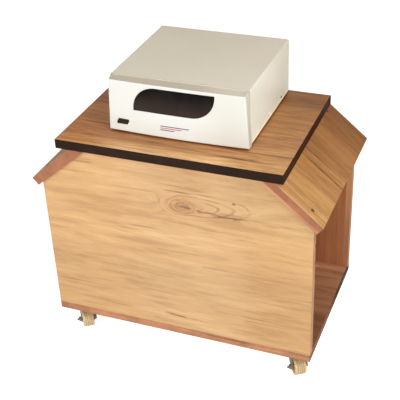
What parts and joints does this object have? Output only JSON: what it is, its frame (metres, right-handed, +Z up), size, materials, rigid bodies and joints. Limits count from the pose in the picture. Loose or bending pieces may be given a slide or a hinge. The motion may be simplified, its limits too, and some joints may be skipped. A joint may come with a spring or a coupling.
{
  "type": "backup power unit on battery trolley",
  "caption": "Home backup-power unit with a leaf-shaped display window, standing on an open-sided laminated wooden battery trolley with sloping shoulders and swivel casters.",
  "frame": {"origin": "on the floor under the middle of the whole object", "axes": "+Z up, +X to the right seen from the front, -Y towards the front, where the display window faces"},
  "size_m": [0.6422, 0.396, 0.6472],
  "materials": {
    "front_laminate": "matt light-tan laminate with horizontal grain",
    "brown_laminate": "matt brown laminate with dark streaks along the grain",
    "black_edging": "satin black edging strip",
    "zinc_steel": "bright zinc plating",
    "cream_nylon": "moulded nylon, slightly yellowed",
    "cream_enamel": "cream powder coat, fine texture",
    "white_abs": "fine-textured white moulding",
    "smoked_acrylic": "glossy smoked acrylic",
    "black_plastic": "satin black moulding",
    "ivory_plastic": "glossy ivory moulding",
    "red_plastic": "glossy red moulding",
    "brass": "machined brass",
    "black_rubber": "matt rubber",
    "core_steel": "varnished silicon-steel laminations",
    "coil_tape": "yellow insulation tape over enamelled wire",
    "circuit_board": "green solder mask",
    "heat_sink_aluminium": "mill-finish extrusion",
    "device_epoxy": "black moulding compound",
    "capacitor_sleeve": "shrunk sleeve",
    "standoff_brass": "turned brass",
    "indicator_lens": "tinted lens"
  },
  "bodies": {
    "trolley": {"back_panel": "brown_laminate", "base_board": "brown_laminate", "base_end_bands": "black_edging", "battery_studs": "brass", "board_standoffs": "standoff_brass", "breaker_body": "black_plastic", "capacitors": "capacitor_sleeve", "caster_kingpins": "zinc_steel", "caster_plates": "zinc_steel", "chassis_tray": "cream_enamel", "display_board": "circuit_board", "display_window": "smoked_acrylic", "fan_frame": "black_plastic", "front_fascia": "white_abs", "front_panel": "front_laminate", "heat_sinks": "heat_sink_aluminium", "inverter_board": "circuit_board", "left_wing": "brown_laminate", "mains_gland": "black_plastic", "output_socket": "ivory_plastic", "power_switch": "black_plastic", "power_transistors": "device_epoxy", "relays": "black_plastic", "right_wing": "brown_laminate", "rubber_feet": "black_rubber", "status_leds": "indicator_lens", "terminal_block": "black_plastic", "top_board": "brown_laminate", "top_brackets": "zinc_steel", "top_cover": "cream_enamel", "top_edge_band": "black_edging", "transformer_clamp": "zinc_steel", "transformer_core": "core_steel", "transformer_winding": "coil_tape"},
    "caster_swivel_front_left": {"caster_fork_front_left": "zinc_steel"},
    "caster_roller_front_left": {"caster_wheel_front_left": "cream_nylon"},
    "caster_swivel_front_right": {"caster_fork_front_right": "zinc_steel"},
    "caster_roller_front_right": {"caster_wheel_front_right": "cream_nylon"},
    "caster_swivel_rear_left": {"caster_fork_rear_left": "zinc_steel"},
    "caster_roller_rear_left": {"caster_wheel_rear_left": "cream_nylon"},
    "caster_swivel_rear_right": {"caster_fork_rear_right": "zinc_steel"},
    "caster_roller_rear_right": {"caster_wheel_rear_right": "cream_nylon"},
    "push_button": {"power_button": "black_plastic"},
    "reset_button": {"breaker_button": "red_plastic"},
    "fan_wheel": {"fan_rotor": "black_plastic"}
  },
  "joints": [
    {"name": "swivel_front_left", "type": "hinge", "parent": "trolley", "child": "caster_swivel_front_left", "pos_m": [-0.258, -0.137, 0.0465], "axis": [0, 0, 1], "continuous": true},
    {"name": "roll_front_left", "type": "hinge", "parent": "caster_swivel_front_left", "child": "caster_roller_front_left", "pos_m": [-0.24682, -0.15358, 0.02], "axis": [0.829, 0.5592, 0], "continuous": true},
    {"name": "swivel_front_right", "type": "hinge", "parent": "trolley", "child": "caster_swivel_front_right", "pos_m": [0.258, -0.137, 0.0465], "axis": [0, 0, 1], "continuous": true},
    {"name": "roll_front_right", "type": "hinge", "parent": "caster_swivel_front_right", "child": "caster_roller_front_right", "pos_m": [0.26918, -0.15358, 0.02], "axis": [0.829, 0.5592, 0], "continuous": true},
    {"name": "swivel_rear_left", "type": "hinge", "parent": "trolley", "child": "caster_swivel_rear_left", "pos_m": [-0.258, 0.137, 0.0465], "axis": [0, 0, 1], "continuous": true},
    {"name": "roll_rear_left", "type": "hinge", "parent": "caster_swivel_rear_left", "child": "caster_roller_rear_left", "pos_m": [-0.27031, 0.15276, 0.02], "axis": [-0.788, -0.6157, 0], "continuous": true},
    {"name": "swivel_rear_right", "type": "hinge", "parent": "trolley", "child": "caster_swivel_rear_right", "pos_m": [0.258, 0.137, 0.0465], "axis": [0, 0, 1], "continuous": true},
    {"name": "roll_rear_right", "type": "hinge", "parent": "caster_swivel_rear_right", "child": "caster_roller_rear_right", "pos_m": [0.24569, 0.15276, 0.02], "axis": [-0.788, -0.6157, 0], "continuous": true},
    {"name": "power_press", "type": "slide", "parent": "trolley", "child": "push_button", "axis": [0, 1, 0], "range_m": [0, 0.0025], "stiffness_N_per_m": 800},
    {"name": "breaker_trip", "type": "slide", "parent": "trolley", "child": "reset_button", "axis": [0, 1, 0], "range_m": [0, 0.004]},
    {"name": "fan_spin", "type": "hinge", "parent": "trolley", "child": "fan_wheel", "pos_m": [-0.082, 0.1238, 0.5872], "axis": [0, 1, 0], "continuous": true}
  ]
}
